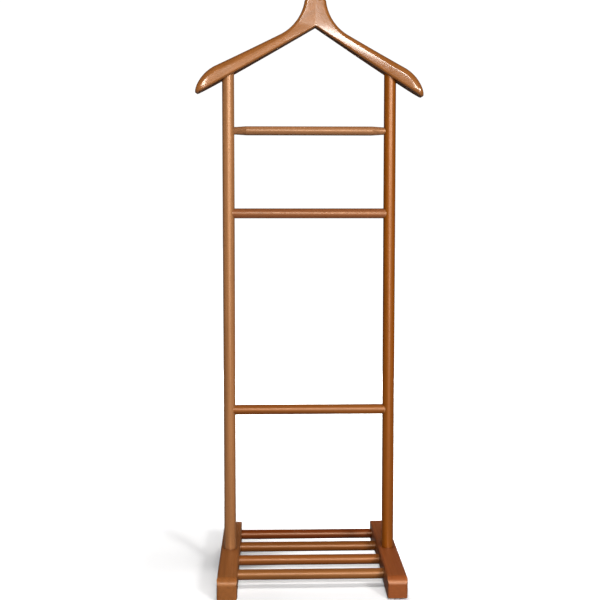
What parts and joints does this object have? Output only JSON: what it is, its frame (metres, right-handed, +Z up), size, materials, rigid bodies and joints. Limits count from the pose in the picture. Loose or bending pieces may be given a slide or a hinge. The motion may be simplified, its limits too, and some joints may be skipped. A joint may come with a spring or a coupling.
{
  "type": "clothes valet stand",
  "caption": "Free-standing wooden clothes valet with a bowed coat hanger, an oval trouser bar, cross rungs and a shoe rack of four rungs between arched feet.",
  "frame": {"origin": "on the floor, midway between the two posts and midway along the feet", "axes": "+Z up; +X to the right seen from the front; the front, where the crown is furthest away, faces -Y"},
  "size_m": [0.45, 0.34, 1.15],
  "materials": {
    "hanger_wood": "satin lacquer",
    "post_wood": "satin lacquer",
    "rung_wood": "satin lacquer",
    "foot_wood": "satin lacquer",
    "joint_wood": "plain beech",
    "fastener_steel": "zinc plated",
    "insert_brass": "plain",
    "glide_nylon": "matte"
  },
  "bodies": {
    "root": {"left_hanger_half": "hanger_wood", "right_hanger_half": "hanger_wood", "crown_dowels": "joint_wood", "hanger_screws": "fastener_steel", "screw_plugs": "hanger_wood", "left_post": "post_wood", "right_post": "post_wood", "trouser_bar": "rung_wood", "upper_rung": "rung_wood", "lower_rung": "rung_wood", "left_foot": "foot_wood", "right_foot": "foot_wood", "shoe_rung_1": "rung_wood", "shoe_rung_2": "rung_wood", "shoe_rung_3": "rung_wood", "shoe_rung_4": "rung_wood", "post_bolts": "fastener_steel", "bolt_washers": "fastener_steel", "post_inserts": "insert_brass", "foot_glides": "glide_nylon", "glide_nails": "fastener_steel"}
  },
  "joints": []
}
